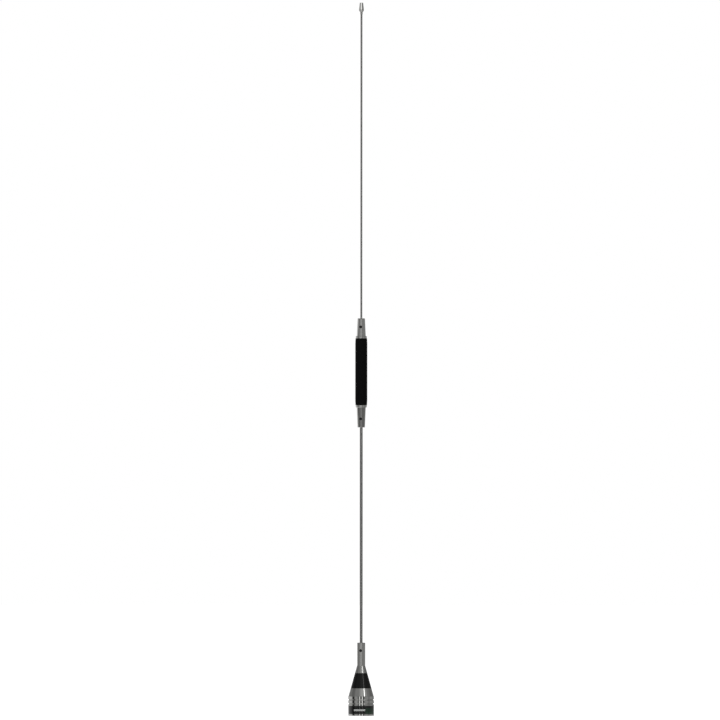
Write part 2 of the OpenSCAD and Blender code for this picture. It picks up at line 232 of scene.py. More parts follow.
def new_group(name: str, output: str, **inputs: float) -> tuple[Tree, Socket, list[Socket]]:
    """Starts a shader node group.

    Args:
        name: the group's name.
        output: the name of its one output.
        inputs: the default of each input, named with _ for a space.

    Returns:
        The tree, the socket that takes the output, and those that bring the inputs.
    """
    group, kind = bpy.data.node_groups.new(name, "ShaderNodeTree"), "NodeSocketFloat"
    for label, value in inputs.items():
        label = label.replace("_", " ")
        group.interface.new_socket(label, in_out="INPUT", socket_type=kind).default_value = value
    group.interface.new_socket(output, in_out="OUTPUT", socket_type=kind)
    tree = Tree(group)
    brought, taken = tree.add("NodeGroupInput"), tree.add("NodeGroupOutput")
    return tree, taken.inputs[0], brought.outputs[:len(inputs)]


class Effects:
    """The node groups that several finishes share, each built once."""

    RINGS_ON_RADIUS: float = 0.7
    SCRATCH_SQUEEZE: float = 0.012
    FILM_LIMITS: tuple[float, float] = (0.42, 0.68)
    DUSTY_PER_METRE: float = 260.0
    DUSTY_LIMIT: float = 0.56

    def __init__(self) -> None:
        """Builds all the groups."""
        self.marks = {Grain.TURNED: self._turned(), Grain.DRAWN: self._drawn()}
        self.film = self._film()
        self.specks = self._specks()
        self.band = self._band()
        self.spot = self._spot()

    def _turned(self) -> Group:
        """Fine rings left by a lathe: 1-D noise of height plus a share of the radius.

        Returns:
            The group.
        """
        tree, out, (marks,) = new_group("turned marks", "Height", Marks_per_metre=9000.0)
        away, _, z = tree.axis_parts()
        run = tree.plus(z, tree.times(away, self.RINGS_ON_RADIUS))
        inputs = {"W": tree.times(run, marks), "Scale": 1.0, "Detail": 3.0}
        noise = tree.add("ShaderNodeTexNoise", inputs, noise_dimensions="1D")
        tree.feed(noise.outputs[0], out)
        return tree.base

    def _drawn(self) -> Group:
        """Long scratches left by a drawing die: noise stretched along the axis.

        Returns:
            The group.
        """
        tree, out, (marks,) = new_group("drawn marks", "Height", Marks_per_metre=9000.0)
        inputs = {"Vector": tree.place(), "Scale": (1.0, 1.0, self.SCRATCH_SQUEEZE)}
        stretched = tree.add("ShaderNodeMapping", inputs).outputs[0]
        tree.feed(tree.noise(stretched, marks, detail=3.0), out)
        return tree.base

    def _film(self) -> Group:
        """Patchy film from handling: broad noise with soft limits.

        Returns:
            The group.
        """
        tree, out, (patches,) = new_group("handling film", "Mask", Patches_per_metre=90.0)
        noise = tree.noise(tree.place(), patches, detail=6.0, warp=0.8)
        tree.feed(tree.smooth(noise, *self.FILM_LIMITS), out)
        return tree.base

    def _specks(self) -> Group:
        """Sparse dust: the centres of random cells, thinned by broad noise.

        Returns:
            The group.
        """
        tree, out, (specks, size) = new_group(
            "dust specks", "Mask", Specks_per_metre=900.0, Size=0.12)
        place = tree.place()
        cells = tree.add("ShaderNodeTexVoronoi", {"Vector": place, "Scale": specks})
        dot = tree.math("LESS_THAN", cells.outputs["Distance"], size)
        thin = tree.noise(place, self.DUSTY_PER_METRE)
        tree.feed(tree.times(dot, tree.math("GREATER_THAN", thin, self.DUSTY_LIMIT)), out)
        return tree.base

    def _band(self) -> Group:
        """Mask of a level band round the axis, with soft limits: 1 at its middle.

        Returns:
            The group.
        """
        tree, out, (middle, half) = new_group("level band", "Mask", Middle=0.0, Half_width=0.001)
        _, _, z = tree.axis_parts()
        off = tree.math("ABSOLUTE", tree.math("SUBTRACT", z, middle))
        share = tree.math("DIVIDE", off, half)
        tree.feed(tree.math("SUBTRACT", 1.0, share, clamp=True), out)
        return tree.base

    def _spot(self) -> Group:
        """Mask of a soft round spot: a smooth step of the distance from a point.

        Returns:
            The group.
        """
        tree, out, (x, y, z, inner, outer) = new_group(
            "round spot", "Mask", X=0.0, Y=0.0, Z=0.0, Inner=0.001, Outer=0.002)
        centre = tree.add("ShaderNodeCombineXYZ", {0: x, 1: y, 2: z}).outputs[0]
        inputs = {0: tree.place(), 1: centre}
        away = tree.add("ShaderNodeVectorMath", inputs, operation="DISTANCE").outputs["Value"]
        tree.feed(tree.smooth(away, outer, inner), out)
        return tree.base


# ---- finishes


@dataclass(frozen=True)
class ScrewHoleShade:
    """Where a set screw's hole opens, and a soft ring of painted shade round it, darker and duller,
    standing in for the shadow at the hole's rim.

    The reach is the distance from the antenna's axis, and the turn is from the front.
    """

    height: float
    reach: float
    turn: float = math.radians(-7)
    inner: float = 2.1 * MM
    outer: float = 2.5 * MM
    # painted shade: the ring's dark colour, its share and its extra roughness
    colour: Colour = (0.03, 0.028, 0.026)
    share: float = 0.85
    rough: float = 0.35

    def mask(self, tree: Tree, effects: Effects) -> Socket:
        """Mask of the painted shade ring, made with the spot's group."""
        x, y = self.reach * math.sin(self.turn), -self.reach * math.cos(self.turn)
        return tree.group(effects.spot, X=x, Y=y, Z=self.height, Inner=self.inner, Outer=self.outer)


@dataclass(frozen=True)
class Finish:
    """What every finish has: a slot and a way to make its material."""

    slot: Slot

    def material(self, effects: Effects) -> Material:
        """Makes the material.

        Args:
            effects: the shared groups.

        Returns:
            The material, named after the slot.
        """
        made = bpy.data.materials.new("finish " + self.slot.value)
        tree = cleared(made)
        shader = tree.add("ShaderNodeBsdfPrincipled", self.inputs(tree, effects))
        tree.add("ShaderNodeOutputMaterial", {"Surface": shader.outputs[0]})
        return made

    def inputs(self, tree: Tree, effects: Effects) -> Inputs:
        """Works out the shader's inputs; each finish has its own way."""
        raise NotImplementedError


@dataclass(frozen=True)
class MetalFinish(Finish):
    """Bare or plated metal with tool marks, a handling film, darker and duller bands at listed
    heights, and painted shade round screw holes.
    """

    colour: Colour
    film_colour: Colour
    roughness: float
    film_roughness: float
    grain: Grain = Grain.TURNED
    marks: float = 9000.0
    depth: float = 1.2e-6
    marks_rough: float = 0.06
    # darker, duller bands at the listed heights, their strength varied by the film
    dark_band_at: tuple[float, ...] = ()
    dark_band_half: float = 1.2 * MM
    dark_band_colour: Colour = (0.05, 0.045, 0.04)
    dark_band_share: float = 0.10
    dark_band_least: float = 0.35
    dark_band_rough: float = 0.3
    # painted shade rings round set screw holes
    hole_shades: tuple[ScrewHoleShade, ...] = ()
    film_share: float = 0.5
    patches: float = 70.0

    def inputs(self, tree: Tree, effects: Effects) -> Inputs:
        """Colour and roughness follow the film, listed bands are darker and duller, painted shade
        rings the screw holes, and the marks are bump.

        Args:
            tree: the material's tree.
            effects: the shared groups.

        Returns:
            A value for each input.
        """
        film = tree.group(effects.film, Patches_per_metre=self.patches)
        marks = tree.group(effects.marks[self.grain], Marks_per_metre=self.marks)
        colour = tree.mix(tree.times(film, self.film_share), self.colour, self.film_colour)
        rough = tree.scaled(film, self.roughness, self.film_roughness)
        rough = tree.plus(rough, tree.times(tree.math("SUBTRACT", marks, 0.5), self.marks_rough))
        # each listed height gets a darker, duller band
        for middle in self.dark_band_at:
            band = tree.group(effects.band, Middle=middle, Half_width=self.dark_band_half)
            darkening = tree.times(band, tree.scaled(film, self.dark_band_least, 1.0), self.dark_band_share)
            colour = tree.mix(darkening, colour, self.dark_band_colour)
            rough = tree.plus(rough, tree.times(darkening, self.dark_band_rough))
        # painted shade: a dark, duller ring round each screw hole
        for hole in self.hole_shades:
            spot = hole.mask(tree, effects)
            colour = tree.mix(tree.times(spot, hole.share), colour, hole.colour)
            rough = tree.plus(rough, tree.times(spot, hole.rough))
        return {"Base Color": colour, "Roughness": rough, "Metallic": 1.0,
                "Normal": tree.bump(marks, self.depth)}


@dataclass(frozen=True)
class PlasticFinish(Finish):
    """Moulded or turned plastic and rubber, with dust and faint tool marks."""

    colour: Colour
    dust: Colour
    roughness: float
    specular: float = 0.5
    marks: float = 6000.0
    depth: float = 1.5e-6
    specks: float = 900.0
    speck_size: float = 0.1
    speck_share: float = 0.25
    veil: float = 0.05
    patches: float = 60.0

    def inputs(self, tree: Tree, effects: Effects) -> Inputs:
        """Dust and film change the colour and roughness, and turned marks are bump.

        Args:
            tree: the material's tree.
            effects: the shared groups.

        Returns:
            A value for each input.
        """
        film = tree.group(effects.film, Patches_per_metre=self.patches)
        dust = tree.group(effects.specks, Specks_per_metre=self.specks, Size=self.speck_size)
        marks = tree.group(effects.marks[Grain.TURNED], Marks_per_metre=self.marks)
        dust = tree.times(dust, self.speck_share)
        dusty = tree.math("MAXIMUM", tree.times(film, self.veil), dust)
        worn = min(1.0, self.roughness * 1.25 + 0.02)
        return {"Base Color": tree.mix(dusty, self.colour, self.dust),
                "Roughness": tree.scaled(film, self.roughness, worn),
                "Specular IOR Level": self.specular, "Normal": tree.bump(marks, self.depth)}


@dataclass(frozen=True)
class LabelFinish(Finish):
    """Printed foil: three pale rules on a black field that turns dark green, under a clear coat.

    What is named "at" is a share of the label's half height above its middle. Other heights are in
    metres, and angles round the axis are in degrees.
    """

    black: Colour
    green: Colour
    line_green: Colour
    hairline: Colour
    middle: float
    half_height: float
    green_turn: tuple[float, float] = (15.0, 24.0)
    green_top_at: float = 0.45
    print_end: float = 150.0
    edge_at: float = 0.9
    edge_half: float = 0.08 * MM
    edge_share: float = 0.12
    thin_at: float = -0.62
    thin_half: float = 0.1 * MM
    rules_turn: float = -8.0
    rules_half_turn: float = 26.0
    rules_rise: float = -0.4 * MM
    rules_pitch: float = 0.95 * MM
    rule_half: float = 0.24 * MM
    patches: float = 80.0

    def inputs(self, tree: Tree, effects: Effects) -> Inputs:
        """The print is laid out by the angle round the axis and the height.

        Args:
            tree: the material's tree.
            effects: the shared groups.

        Returns:
            A value for each input.
        """
        _, angle, z = tree.axis_parts()
        turn = tree.smooth(angle, *map(math.radians, self.green_turn))
        low = tree.math("LESS_THAN", z, self.middle + self.green_top_at * self.half_height)
        ahead = tree.math("LESS_THAN", tree.math("ABSOLUTE", angle), math.radians(self.print_end))
        colour = tree.mix(tree.times(turn, low, ahead), self.black, self.green)
        off = tree.math("ABSOLUTE", tree.math("SUBTRACT", z, self.middle))
        edge = tree.math("COMPARE", off, self.edge_at * self.half_height, self.edge_half)
        colour = tree.mix(tree.times(edge, self.edge_share), colour, self.hairline)
        turns = map(math.radians, (self.rules_turn, self.rules_half_turn))
        front = tree.math("COMPARE", angle, *turns)
        for at in (-1, 0, 1):
            height = self.middle + self.rules_rise + at * self.rules_pitch
            rule = tree.math("COMPARE", z, height, self.rule_half)
            colour = tree.mix(tree.times(rule, front), colour, self.hairline)
        height = self.middle + self.thin_at * self.half_height
        thin = tree.math("COMPARE", z, height, self.thin_half)
        colour = tree.mix(tree.times(thin, turn, ahead), colour, self.line_green)
        film = tree.group(effects.film, Patches_per_metre=self.patches)
        return {"Base Color": colour, "Roughness": tree.scaled(film, 0.16, 0.3),
                "Specular IOR Level": 0.3, "Coat Weight": 0.6, "Coat Roughness": 0.03}


def finishes() -> dict[Slot, Finish]:
    """Lists the antenna's finishes.

    Returns:
        A finish for each slot.
    """
    made: list[Finish] = [
        MetalFinish(Slot.CHROMED_BRASS, (0.64, 0.64, 0.62), (0.60, 0.60, 0.58), 0.03, 0.055,
                    # darker, duller bands at the base's two grooves
                    depth=4e-7, dark_band_at=(18.8 * MM, 25.0 * MM),
                    # painted shade round the three set screw holes
                    hole_shades=(ScrewHoleShade(101.5 * MM, 6.45 * MM), ScrewHoleShade(462.0 * MM, 6.2 * MM),
                           ScrewHoleShade(605.1 * MM, 6.25 * MM))),
        MetalFinish(Slot.STAINLESS, (0.43, 0.43, 0.42), (0.415, 0.415, 0.405), 0.25, 0.255,
                    Grain.DRAWN, 5000.0, 5e-8, marks_rough=0.0),
        MetalFinish(Slot.PLATED_STEEL, (0.66, 0.66, 0.63), (0.55, 0.54, 0.50), 0.25, 0.42),
        MetalFinish(Slot.BLACKENED_STEEL, (0.05, 0.05, 0.052), (0.09, 0.085, 0.08), 0.35, 0.5),
        MetalFinish(Slot.BRASS, (0.72, 0.54, 0.26), (0.58, 0.42, 0.20), 0.18, 0.34),
        MetalFinish(Slot.COPPER_WIRE, (0.62, 0.25, 0.10), (0.48, 0.17, 0.06), 0.22, 0.32,
                    Grain.DRAWN),
        PlasticFinish(Slot.BLACK_ACETAL, (0.0014, 0.0013, 0.0012), (0.02, 0.02, 0.019), 0.06, 0.42,
                      depth=3e-7),
        PlasticFinish(Slot.CONTACT_DISC, (0.66, 0.61, 0.50), (0.40, 0.37, 0.31), 0.45),
        PlasticFinish(Slot.FORMER, (0.70, 0.62, 0.46), (0.45, 0.40, 0.32), 0.42),
        PlasticFinish(Slot.HEAT_SHRINK, (0.0018, 0.0018, 0.0018), (0.010, 0.010, 0.010), 0.6, 0.08,
                      marks=2500.0, depth=4e-6, speck_size=0.06),
        LabelFinish(Slot.LABEL_FOIL, (0.004, 0.004, 0.004), (0.005, 0.017, 0.009),
                    (0.03, 0.09, 0.05), (0.62, 0.64, 0.62), 9.4 * MM, 6.6 * MM),
        PlasticFinish(Slot.RUBBER, (0.018, 0.018, 0.018), (0.09, 0.088, 0.08), 0.72, 0.3,
                      depth=5e-6),
    ]
    return {finish.slot: finish for finish in made}


# ---- surfaces


def linked(name: str, data: bpy.types.ID) -> Object:
    """Makes an object and links it to the scene.

    Args:
        name: the object's name.
        data: its mesh, camera or lamp.

    Returns:
        The object, at the origin.
    """
    obj = bpy.data.objects.new(name, data)
    bpy.context.scene.collection.objects.link(obj)
    return obj


def full_turn(steps: int) -> Array:
    """Evenly spaced angles of a full turn, in radians."""
    return np.linspace(0.0, math.tau, steps, endpoint=False)


def polar(radius: object, angle: object, height: object) -> Array:
    """Points round the Z axis: radius times (cos angle, sin angle), and the height.

    Args:
        radius: in metres. The three are spread to one shape.
        angle: in radians.
        height: in metres.

    Returns:
        The points, with one more axis of length 3.
    """
    parts = radius * np.cos(angle), radius * np.sin(angle), height
    return np.stack(np.broadcast_arrays(*parts), axis=-1)


def surface(name: str, points: Array, closed: bool = False, sharp: float = 35.0) -> Object:
    """Makes a mesh object from a grid of points.

    The faces join each point to the next one along its row, round to the first, and to the next
    row. Equal points, as at a pole, are merged, and sharp edges keep a hard shade.

    Args:
        name: the object's name.
        points: rows by columns by 3, in metres.
        closed: whether the last row joins the first.
        sharp: the angle of a hard edge, in degrees.

    Returns:
        The object.
    """
    rows, cols = points.shape[:2]
    index = np.arange(rows * cols).reshape(rows, cols)
    if closed:
        index = np.vstack([index, index[:1]])
    index = np.hstack([index, index[:, :1]])
    corners = [index[:-1, :-1], index[:-1, 1:], index[1:, 1:], index[1:, :-1]]
    quads = np.stack(corners, axis=-1).reshape(-1, 4)
    mesh = bpy.data.meshes.new(name)
    mesh.from_pydata(points.reshape(-1, 3).tolist(), [], quads.tolist())
    mesh.validate()
    clean(mesh)
    mesh.polygons.foreach_set("use_smooth", np.ones(len(mesh.polygons), dtype=bool))
    mesh.set_sharp_from_angle(angle=math.radians(sharp))
    return linked(name, mesh)


def clean(mesh: bpy.types.Mesh) -> None:
    """Merges equal points of a mesh and turns its faces outwards.

    Args:
        mesh: the mesh, changed in place.
    """
    work = bmesh.new()
    work.from_mesh(mesh)
    bmesh.ops.remove_doubles(work, verts=work.verts, dist=MERGE_WITHIN)
    bmesh.ops.dissolve_degenerate(work, edges=work.edges, dist=NO_LENGTH)
    bmesh.ops.recalc_face_normals(work, faces=work.faces)
    work.to_mesh(mesh)
    work.free()


def supported(profile: Array, gap: float = 0.12 * MM) -> Array:
    """Adds a point near each end of every long straight stretch, so that it shades as straight.

    The new points lie at the gap from its ends. A stretch shorter than four gaps gets none.

    Args:
        profile: points of [radius, height] in metres.
        gap: the gap in metres.

    Returns:
        The longer list of points.
    """
    step = np.diff(profile, axis=0)
    length = np.linalg.norm(step, axis=1, keepdims=True)
    near = step * np.minimum(gap / length, 1 / 3)
    body = np.stack([profile[:-1], profile[:-1] + near, profile[1:] - near], axis=1).reshape(-1, 2)
    long = np.repeat(length[:, 0] > 4 * gap, 3) | (np.arange(len(body)) % 3 == 0)
    return np.vstack([body[long], profile[-1:]])


def turned(name: str, profile: Array, around: int = 128) -> Object:
    """Turns a profile round the Z axis: a point is radius times (cos a, sin a), and its height.

    Args:
        name: the object's name.
        profile: points of [radius, height] in metres, from one pole or round a closed section.
        around: the number of columns.

    Returns:
        The object.
    """
    profile = supported(profile)
    points = polar(profile[:, 0, None], full_turn(around), profile[:, 1, None])
    return surface(name, points, closed=bool(profile[0, 0] > 0))


def swept(name: str, path: Array, section: Array, taper: Array | None = None) -> Object:
    """Carries a section along a path that winds round the Z axis.

    At each point the section's first axis points away from the Z axis, square to the path, and
    its second axis is square to both. The two ends close on the path itself.

    Args:
        name: the object's name.
        path: points of the centre line, in metres.
        section: closed loop of [outwards, along the second axis] in metres.
        taper: scale of the section at each point of the path.

    Returns:
        The object.
    """
    run = np.gradient(path, axis=0)
    run /= np.linalg.norm(run, axis=1, keepdims=True)
    out = path * np.array([1.0, 1.0, 0.0])
    out -= run * np.sum(out * run, axis=1, keepdims=True)
    out /= np.linalg.norm(out, axis=1, keepdims=True)
    side = np.cross(run, out)
    scale = np.ones(len(path)) if taper is None else taper
    loops = (path[:, None] + scale[:, None, None] * (
        out[:, None] * section[None, :, 0, None] + side[:, None] * section[None, :, 1, None]))
    ends = [np.repeat(path[k][None, None], len(section), axis=1) for k in (0, -1)]
    return surface(name, np.concatenate([ends[0], loops, ends[1]]), sharp=50.0)


def circle(radius: float, sides: int) -> Array:
    """Corners of a polygon on a circle, one in each row of two numbers."""
    return polar(radius, full_turn(sides), 0.0)[:, :2]


def read(items: object, name: str, width: int) -> Array:
    """Reads one attribute of all the vertices, faces or corners of a mesh.

    Args:
        items: the mesh's collection.
        name: the attribute.
        width: how many numbers each item has.

    Returns:
        An array with a row for each item.
    """
    values = np.empty(len(items) * width, dtype=np.float64 if width > 1 else np.int32)
    items.foreach_get(name, values)
    return values.reshape(-1, width) if width > 1 else values


@dataclass(frozen=True)
class ConeLimits:
    """What counts as a cone or cylinder of a turned piece.

    A face sets a line when it is tall, square to the axis and steep. A face lies on a line when
    its corners are within the slack and it points about the same way. Lines whose slope and level
    round to the same steps count as one.
    """

    tall: float = 1.5 * MM
    square: float = 0.99
    steep: float = 0.3
    slack: float = 0.02 * MM
    same_way: float = 0.85
    about_square: float = 0.9
    alike: tuple[float, float, float] = (0.01, 0.01, 0.1 * MM)


def true_cones(mesh: bpy.types.Mesh, limits: ConeLimits = ConeLimits()) -> int:
    """Gives the cones and cylinders of a turned piece exact normals, also round a cut hole.

    A tall face sets a line in the profile: outward part times radius plus upward part times
    height is constant. All faces on the line take its slope, turned to each corner's azimuth.

    Args:
        mesh: a CAD node's mesh, of which only the normals change.
        limits: what counts as a cone.

    Returns:
        The number of lines. A cone may have several that are almost the same.
    """
    point = read(mesh.vertices, "co", 3)[read(mesh.loops, "vertex_index", 1)]
    radius, height = np.linalg.norm(point[:, :2], axis=1), point[:, 2]
    normal, middle = read(mesh.polygons, "normal", 3), read(mesh.polygons, "center", 3)
    first, sides = read(mesh.polygons, "loop_start", 1), read(mesh.polygons, "loop_total", 1)
    owner = np.repeat(np.arange(len(first)), sides)
    flat = np.linalg.norm(normal[:, :2], axis=1)
    lean = np.sum(normal[:, :2] * middle[:, :2], axis=1)
    lean /= flat * np.linalg.norm(middle[:, :2], axis=1) + 1e-12
    slope = np.stack([np.sign(lean) * flat, normal[:, 2]], axis=-1)
    extent = np.maximum.reduceat(height, first) - np.minimum.reduceat(height, first)
    mean = np.stack([np.add.reduceat(value, first) for value in (radius, height)], axis=-1)
    mean /= sides[:, None]
    level = np.sum(slope * mean, axis=1, keepdims=True)
    sets = (np.abs(lean) > limits.square) & (flat > limits.steep) & (extent > limits.tall)
    lines = np.hstack([slope, mean, level])[sets]
    kinds = np.round(lines[:, [0, 1, 4]] / limits.alike)
    lines = lines[np.unique(kinds, axis=0, return_index=True)[1]]
    wanted = np.zeros((len(point), 3))
    for out, up, r, z, _ in lines:
        near = np.abs(out * (radius - r) + up * (height - z)) < limits.slack
        along = slope @ np.array([out, up]) > limits.same_way
        member = along & (np.abs(lean) > limits.about_square)
        chosen = (member & np.logical_and.reduceat(near, first))[owner]
        way = point[chosen, :2] / radius[chosen, None]
        wanted[chosen] = np.column_stack([way * out, np.full(len(way), up)])
    mesh.normals_split_custom_set(wanted)
    return len(lines)


# ---- sub-assemblies


@dataclass
class SubAssembly:
    """A group of pieces that ride on one body."""

    finishes: dict[Slot, Material]
    nodes: dict[str, Object]
    body: str = ""

    def dress(self, obj: Object, slot: Slot) -> None:
        """Gives an object the material of a slot.

        Args:
            obj: a CAD node's object or a new piece.
            slot: the slot.
        """
        if not obj.material_slots:
            obj.data.materials.append(None)
        for place in obj.material_slots:
            place.material = self.finishes[slot]

    def dress_nodes(self, plan: dict[str, Slot]) -> None:
        """Dresses CAD nodes that keep their shape.

        Args:
            plan: the slot of each node.
        """
        for name, slot in plan.items():
            self.dress(self.nodes[name], slot)
            lines = true_cones(self.nodes[name].data) if name in TURNED_NODES else 0
            LOG.info("%s: CAD node %s in %s, %d true lines", self.body, name, slot.value, lines)

    def place(self, obj: Object, slot: Slot, *replaced: str) -> None:
        """Dresses a new piece, makes it ride on the body and lets it stand for CAD nodes.

        Args:
            obj: the piece.
            slot: its slot.
            replaced: the CAD nodes that it stands for.
        """
        self.dress(obj, slot)
        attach(obj, self.body)
        if replaced:
            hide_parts(*replaced)
        faces = len(obj.data.polygons)
        LOG.info("%s: piece %s in %s, %d faces", self.body, obj.name, slot.value, faces)

    def span(self, node: str) -> tuple[float, float]:
        """Lowest and highest height of a CAD node, in metres."""
        low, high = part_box(node)
        return low.z, high.z


@dataclass
class ScrewOnBase(SubAssembly):
    """Shell, label, insulator, clamping parts, contact bolt and whip holder.

    The thread's foot and crest are half widths in pitches, and its ends fade in part of a turn.
    """

    body: str = "base"
    thread_r: float = 14.29 * MM
    thread_depth: float = 0.84 * MM
    thread_pitch: float = 25.4 / 18 * MM
    thread_z: float = 0.9 * MM
    thread_turns: float = 5.2
    thread_foot: float = 0.44
    thread_crest: float = 0.07
    thread_sink: float = 0.03 * MM
    thread_fade: float = 0.12
    thread_thin: float = 0.02
    steps_a_turn: int = 96
    plan: dict[str, Slot] = field(default_factory=lambda: {
        "base_shell": Slot.CHROMED_BRASS, "label_band": Slot.LABEL_FOIL,
        "insulator": Slot.BLACK_ACETAL, "lock_washer": Slot.PLATED_STEEL,
        "ring_nut": Slot.BRASS, "contact_disc": Slot.CONTACT_DISC, "seal_ring": Slot.RUBBER,
        "contact_bolt": Slot.BRASS, "contact_collar": Slot.BRASS,
        "whip_holder": Slot.CHROMED_BRASS, "holder_set_screw": Slot.BLACKENED_STEEL,
    })

    def thread(self) -> Object:
        """Ridge of the mounting thread: a trapezium carried along a helix inside the bore.

        Returns:
            The object.
        """
        pitch, depth, sink = self.thread_pitch, self.thread_depth, self.thread_sink
        t = np.linspace(0.0, self.thread_turns, int(self.thread_turns * self.steps_a_turn))
        path = polar(self.thread_r, math.tau * t, self.thread_z + pitch * (t + 0.5))
        foot, crest = self.thread_foot * pitch, self.thread_crest * pitch
        section = np.array([[sink, -foot], [-depth, -crest], [-depth, crest], [sink, foot]])
        from_end = np.minimum(t, self.thread_turns - t)
        taper = np.clip(from_end / self.thread_fade, self.thread_thin, 1.0)
        return swept("mount_thread_ridge", path, section, taper)

    def build(self) -> None:
        """Dresses the nodes and adds the thread."""
        self.dress_nodes(self.plan)
        self.place(self.thread(), Slot.CHROMED_BRASS)


@dataclass
class ContactSpring(SubAssembly):
    """Spring behind the contact pin."""

    body: str = "base"
    radius: float = 1.4 * MM
    wire: float = 0.25 * MM
    turns: float = 7.0
    closed_turns: float = 0.5
    spread_rise: float = 0.1
    steps_a_turn: int = 40
    keep: float = 0.82

    def build(self) -> None:
        """Helix: the height follows all the turns a little, and the ones not closed the rest."""
        bottom, top = self.span("contact_spring")
        low, high = bottom + self.wire, top - self.wire
        t = np.linspace(0.0, 1.0, int(self.turns * self.steps_a_turn))
        closed = self.closed_turns / self.turns
        inner = np.clip((t - closed) / (1 - 2 * closed), 0.0, 1.0)
        rise = self.spread_rise * t + (1 - self.spread_rise) * inner
        path = polar(self.radius, math.tau * self.turns * t, low + (high - low) * rise)
        spring = swept("contact_spring_wire", path, circle(self.wire, 14))
        self.place(spring, Slot.PLATED_STEEL, "contact_spring")
        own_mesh(spring)


@dataclass
class ContactPlunger(SubAssembly):
    """The contact pin."""

    body: str = "contact_plunger"

    def build(self) -> None:
        """Dresses the pin."""
        self.dress_nodes({"contact_pin": Slot.BRASS})


@dataclass
class Rod(SubAssembly):
    """A drawn steel whip with rounded ends, in place of its coarse CAD node."""

    node: str = ""
    radius: float = 0.0
    round_off: float = 0.35 * MM
    sides: int = 64

    def build(self) -> None:
        """Profile: pole, quarter-round, straight side, quarter-round, pole."""
        low, high = self.span(self.node)
        a = np.linspace(0.0, math.pi / 2, 7)
        r, flat = self.round_off, self.radius - self.round_off
        foot = np.stack([flat + r * np.sin(a), low + r * (1 - np.cos(a))], axis=-1)
        head = np.stack([flat + r * np.cos(a), high - r * (1 - np.sin(a))], axis=-1)
        profile = np.vstack([[[0.0, low]], foot, head, [[0.0, high]]])
        rod = turned(self.node + "_rod", profile, self.sides)
        self.place(rod, Slot.STAINLESS, self.node)


@dataclass
class TipBead(SubAssembly):
    """The bead on the upper whip, smoother than its CAD node."""

    body: str = "upper_mast"
    bore_r: float = 1.55 * MM
    bore: float = 9.0 * MM
    shank_r: float = 1.9 * MM
    shank: float = 4.0 * MM
    belly: float = 3.4 * MM
    bead_r: float = 3.75 * MM
    top_r: float = 2.3 * MM
    chamfer: float = 0.3 * MM
    arc_steps: int = 33

    def build(self) -> None:
        """Profile: bore, chamfered shank, quarter of an ellipse, straight taper, rounded top."""
        low, high = self.span("tip_bead")
        a = np.linspace(0.0, math.pi / 2, self.arc_steps)
        widest = low + self.shank + self.belly
        belly = np.stack([self.shank_r + (self.bead_r - self.shank_r) * np.sin(a),
                          widest - self.belly * np.cos(a)], axis=-1)
        q = a[::4]
        crown = np.stack([self.top_r + self.chamfer * np.cos(q),
                          high - self.chamfer * (1 - np.sin(q))], axis=-1)
        profile = np.vstack([
            [[0.0, low + self.bore], [self.bore_r, low + self.bore], [self.bore_r, low],
             [self.shank_r - self.chamfer, low], [self.shank_r, low + self.chamfer]],
            belly, crown, [[0.0, high]],
        ])
        self.place(turned("tip_bead_turned", profile), Slot.CHROMED_BRASS, "tip_bead")


